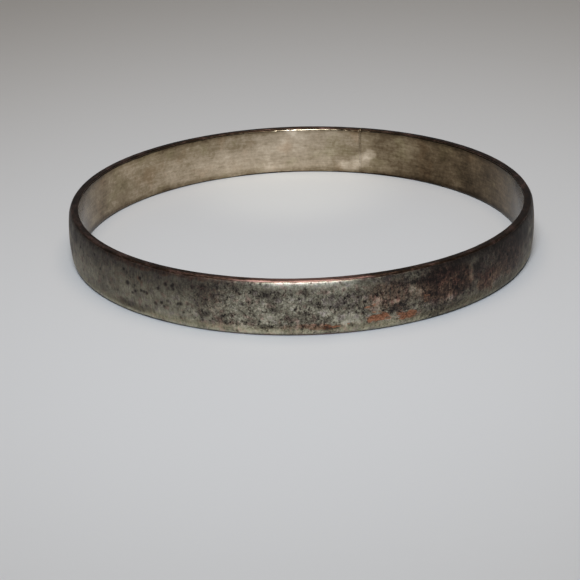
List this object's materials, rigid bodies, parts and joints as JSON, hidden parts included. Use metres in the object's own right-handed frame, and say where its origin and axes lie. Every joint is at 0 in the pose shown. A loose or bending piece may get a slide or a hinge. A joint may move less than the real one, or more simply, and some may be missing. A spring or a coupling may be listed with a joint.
{
  "type": "bangle bracelet",
  "caption": "Rigid closed bangle: a low-domed band of silver-clad copper with a flat inside, narrow flat edges and a soldered seam.",
  "frame": {"origin": "on the ring's axis, in the plane of the lower edge that it rests on", "axes": "+Z along the ring's axis, up from the lower edge; the front of the ring faces -Y; the seam is at the back, towards +X"},
  "size_m": [0.0666, 0.0666, 0.0075],
  "materials": {
    "bare_copper": "bare copper, darkened to red-brown",
    "worn_silver": "worn and tarnished silver, speckled dark, copper showing through in places",
    "inside_silver": "satin silver with a warm tan patina",
    "hard_solder": "pale filed silver solder"
  },
  "bodies": {
    "root": {"copper_core": "bare_copper", "outer_silver": "worn_silver", "inner_silver": "inside_silver", "seam_solder": "hard_solder"}
  },
  "joints": []
}
